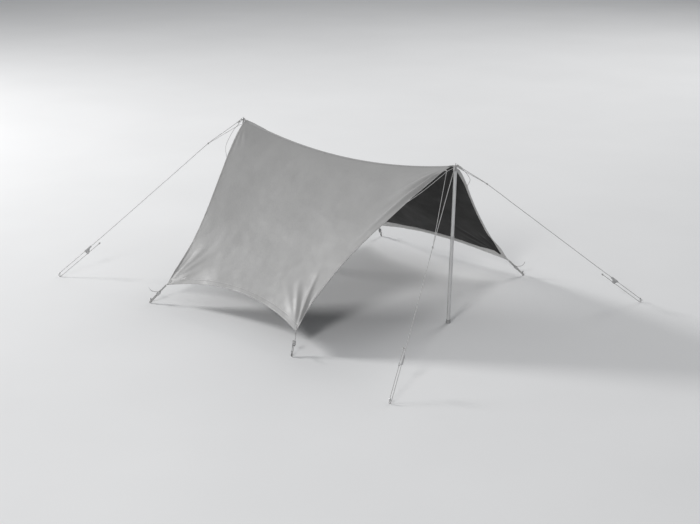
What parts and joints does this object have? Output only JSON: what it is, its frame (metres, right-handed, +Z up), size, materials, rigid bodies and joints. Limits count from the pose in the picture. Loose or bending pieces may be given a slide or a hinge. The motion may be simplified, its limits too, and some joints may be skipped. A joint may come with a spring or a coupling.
{
  "type": "tarp shelter",
  "caption": "Ridge tarp shelter: one sheet of cloth with hollow-cut edges, raised on telescopic end poles and held down by guy lines, corner straps and pegs.",
  "frame": {"origin": "middle of the front pole's foot, at ground level", "axes": "+X along the ridge, out of the front opening; +Y to the left side of the shelter; +Z up"},
  "size_m": [3.9002, 2.9502, 1.4441],
  "materials": {
    "canopy_cloth": "coated ripstop cloth, satin, with fine creases",
    "webbing": "flat woven webbing with stitched edges",
    "cord": "braided cord",
    "fittings": "plain bright steel",
    "pole_tube": "satin light grey coating on alloy tube",
    "rubber_foot": "matt moulded rubber",
    "moulded_plastic": "moulded plastic with a fine grain",
    "nylon": "natural nylon",
    "slider_plastic": "moulded plastic, slightly worn",
    "peg_metal": "drawn alloy rod, scuffed"
  },
  "bodies": {
    "canopy": {"canopy_right": "canopy_cloth", "canopy_left": "canopy_cloth", "ridge_tape": "webbing", "front_ridge_tab": "webbing", "front_eyelet": "fittings", "front_tip_ring": "fittings", "rear_ridge_tab": "webbing", "rear_eyelet": "fittings", "rear_tip_ring": "fittings", "front_right_guy_line": "cord", "front_right_bridle": "cord", "front_right_edge_cord": "cord", "front_right_corner_strap": "webbing", "front_left_guy_line": "cord", "front_left_bridle": "cord", "front_left_edge_cord": "cord", "front_left_corner_strap": "webbing", "rear_right_guy_line": "cord", "rear_right_bridle": "cord", "rear_right_edge_cord": "cord", "rear_right_corner_strap": "webbing", "rear_left_guy_line": "cord", "rear_left_bridle": "cord", "rear_left_edge_cord": "cord", "rear_left_corner_strap": "webbing"},
    "front_pole_upper": {"front_upper_tube": "pole_tube", "front_lock_screw": "moulded_plastic", "front_pole_tip": "moulded_plastic"},
    "front_pole_lock": {"front_lock_expander": "nylon"},
    "front_pole_lower": {"front_lower_tube": "pole_tube", "front_pole_foot": "rubber_foot", "front_collar": "moulded_plastic"},
    "rear_pole_upper": {"rear_upper_tube": "pole_tube", "rear_lock_screw": "moulded_plastic", "rear_pole_tip": "moulded_plastic"},
    "rear_pole_lock": {"rear_lock_expander": "nylon"},
    "rear_pole_lower": {"rear_lower_tube": "pole_tube", "rear_pole_foot": "rubber_foot", "rear_collar": "moulded_plastic"},
    "front_right_guy_slider": {"front_right_guy_slider": "slider_plastic"},
    "front_right_strap_slider": {"front_right_strap_slider": "slider_plastic", "front_right_strap_tail": "webbing"},
    "front_right_guy_peg": {"front_right_guy_peg": "peg_metal"},
    "front_right_corner_peg": {"front_right_corner_peg": "peg_metal"},
    "front_left_guy_slider": {"front_left_guy_slider": "slider_plastic"},
    "front_left_strap_slider": {"front_left_strap_slider": "slider_plastic", "front_left_strap_tail": "webbing"},
    "front_left_guy_peg": {"front_left_guy_peg": "peg_metal"},
    "front_left_corner_peg": {"front_left_corner_peg": "peg_metal"},
    "rear_right_guy_slider": {"rear_right_guy_slider": "slider_plastic"},
    "rear_right_strap_slider": {"rear_right_strap_slider": "slider_plastic", "rear_right_strap_tail": "webbing"},
    "rear_right_guy_peg": {"rear_right_guy_peg": "peg_metal"},
    "rear_right_corner_peg": {"rear_right_corner_peg": "peg_metal"},
    "rear_left_guy_slider": {"rear_left_guy_slider": "slider_plastic"},
    "rear_left_strap_slider": {"rear_left_strap_slider": "slider_plastic", "rear_left_strap_tail": "webbing"},
    "rear_left_guy_peg": {"rear_left_guy_peg": "peg_metal"},
    "rear_left_corner_peg": {"rear_left_corner_peg": "peg_metal"}
  },
  "joints": [
    {"name": "front_pole_lean", "type": "hinge", "parent": "canopy", "child": "front_pole_upper", "pos_m": [0.04, 0, 1.249], "axis": [0, 1, 0], "range_deg": [-10, 10]},
    {"name": "front_pole_twist", "type": "hinge", "parent": "front_pole_upper", "child": "front_pole_lock", "pos_m": [0.01648, 0, 0.51474], "axis": [0.032, 0, 0.9995], "range_deg": [0, 90]},
    {"name": "front_pole_telescope", "type": "slide", "parent": "front_pole_lock", "child": "front_pole_lower", "axis": [0.032, 0, 0.9995], "range_m": [0, 0.45]},
    {"name": "rear_pole_lean", "type": "hinge", "parent": "canopy", "child": "rear_pole_upper", "pos_m": [-2.37, 0, 1.249], "axis": [0, 1, 0], "range_deg": [-10, 10]},
    {"name": "rear_pole_twist", "type": "hinge", "parent": "rear_pole_upper", "child": "rear_pole_lock", "pos_m": [-2.34648, 0, 0.51474], "axis": [-0.032, 0, 0.9995], "range_deg": [0, 90]},
    {"name": "rear_pole_telescope", "type": "slide", "parent": "rear_pole_lock", "child": "rear_pole_lower", "axis": [-0.032, 0, 0.9995], "range_m": [0, 0.45]},
    {"name": "front_right_guy_slide", "type": "slide", "parent": "canopy", "child": "front_right_guy_slider", "axis": [-0.3543, 0.7105, 0.608], "range_m": [-0.15, 0.05]},
    {"name": "front_right_strap_slide", "type": "slide", "parent": "canopy", "child": "front_right_strap_slider", "axis": [-0.3802, 0.5974, 0.7061], "range_m": [-0.035, 0.02]},
    {"name": "front_right_guy_peg_pull", "type": "slide", "parent": "canopy", "child": "front_right_guy_peg", "axis": [0, 0, 1], "range_m": [0, 0.17]},
    {"name": "front_right_corner_peg_pull", "type": "slide", "parent": "canopy", "child": "front_right_corner_peg", "axis": [0, 0, 1], "range_m": [0, 0.17]},
    {"name": "front_left_guy_slide", "type": "slide", "parent": "canopy", "child": "front_left_guy_slider", "axis": [-0.3543, -0.7105, 0.608], "range_m": [-0.15, 0.05]},
    {"name": "front_left_strap_slide", "type": "slide", "parent": "canopy", "child": "front_left_strap_slider", "axis": [-0.3802, -0.5974, 0.7061], "range_m": [-0.035, 0.02]},
    {"name": "front_left_guy_peg_pull", "type": "slide", "parent": "canopy", "child": "front_left_guy_peg", "axis": [0, 0, 1], "range_m": [0, 0.17]},
    {"name": "front_left_corner_peg_pull", "type": "slide", "parent": "canopy", "child": "front_left_corner_peg", "axis": [0, 0, 1], "range_m": [0, 0.17]},
    {"name": "rear_right_guy_slide", "type": "slide", "parent": "canopy", "child": "rear_right_guy_slider", "axis": [0.3543, 0.7105, 0.608], "range_m": [-0.15, 0.05]},
    {"name": "rear_right_strap_slide", "type": "slide", "parent": "canopy", "child": "rear_right_strap_slider", "axis": [0.3802, 0.5974, 0.7061], "range_m": [-0.035, 0.02]},
    {"name": "rear_right_guy_peg_pull", "type": "slide", "parent": "canopy", "child": "rear_right_guy_peg", "axis": [0, 0, 1], "range_m": [0, 0.17]},
    {"name": "rear_right_corner_peg_pull", "type": "slide", "parent": "canopy", "child": "rear_right_corner_peg", "axis": [0, 0, 1], "range_m": [0, 0.17]},
    {"name": "rear_left_guy_slide", "type": "slide", "parent": "canopy", "child": "rear_left_guy_slider", "axis": [0.3543, -0.7105, 0.608], "range_m": [-0.15, 0.05]},
    {"name": "rear_left_strap_slide", "type": "slide", "parent": "canopy", "child": "rear_left_strap_slider", "axis": [0.3802, -0.5974, 0.7061], "range_m": [-0.035, 0.02]},
    {"name": "rear_left_guy_peg_pull", "type": "slide", "parent": "canopy", "child": "rear_left_guy_peg", "axis": [0, 0, 1], "range_m": [0, 0.17]},
    {"name": "rear_left_corner_peg_pull", "type": "slide", "parent": "canopy", "child": "rear_left_corner_peg", "axis": [0, 0, 1], "range_m": [0, 0.17]}
  ]
}
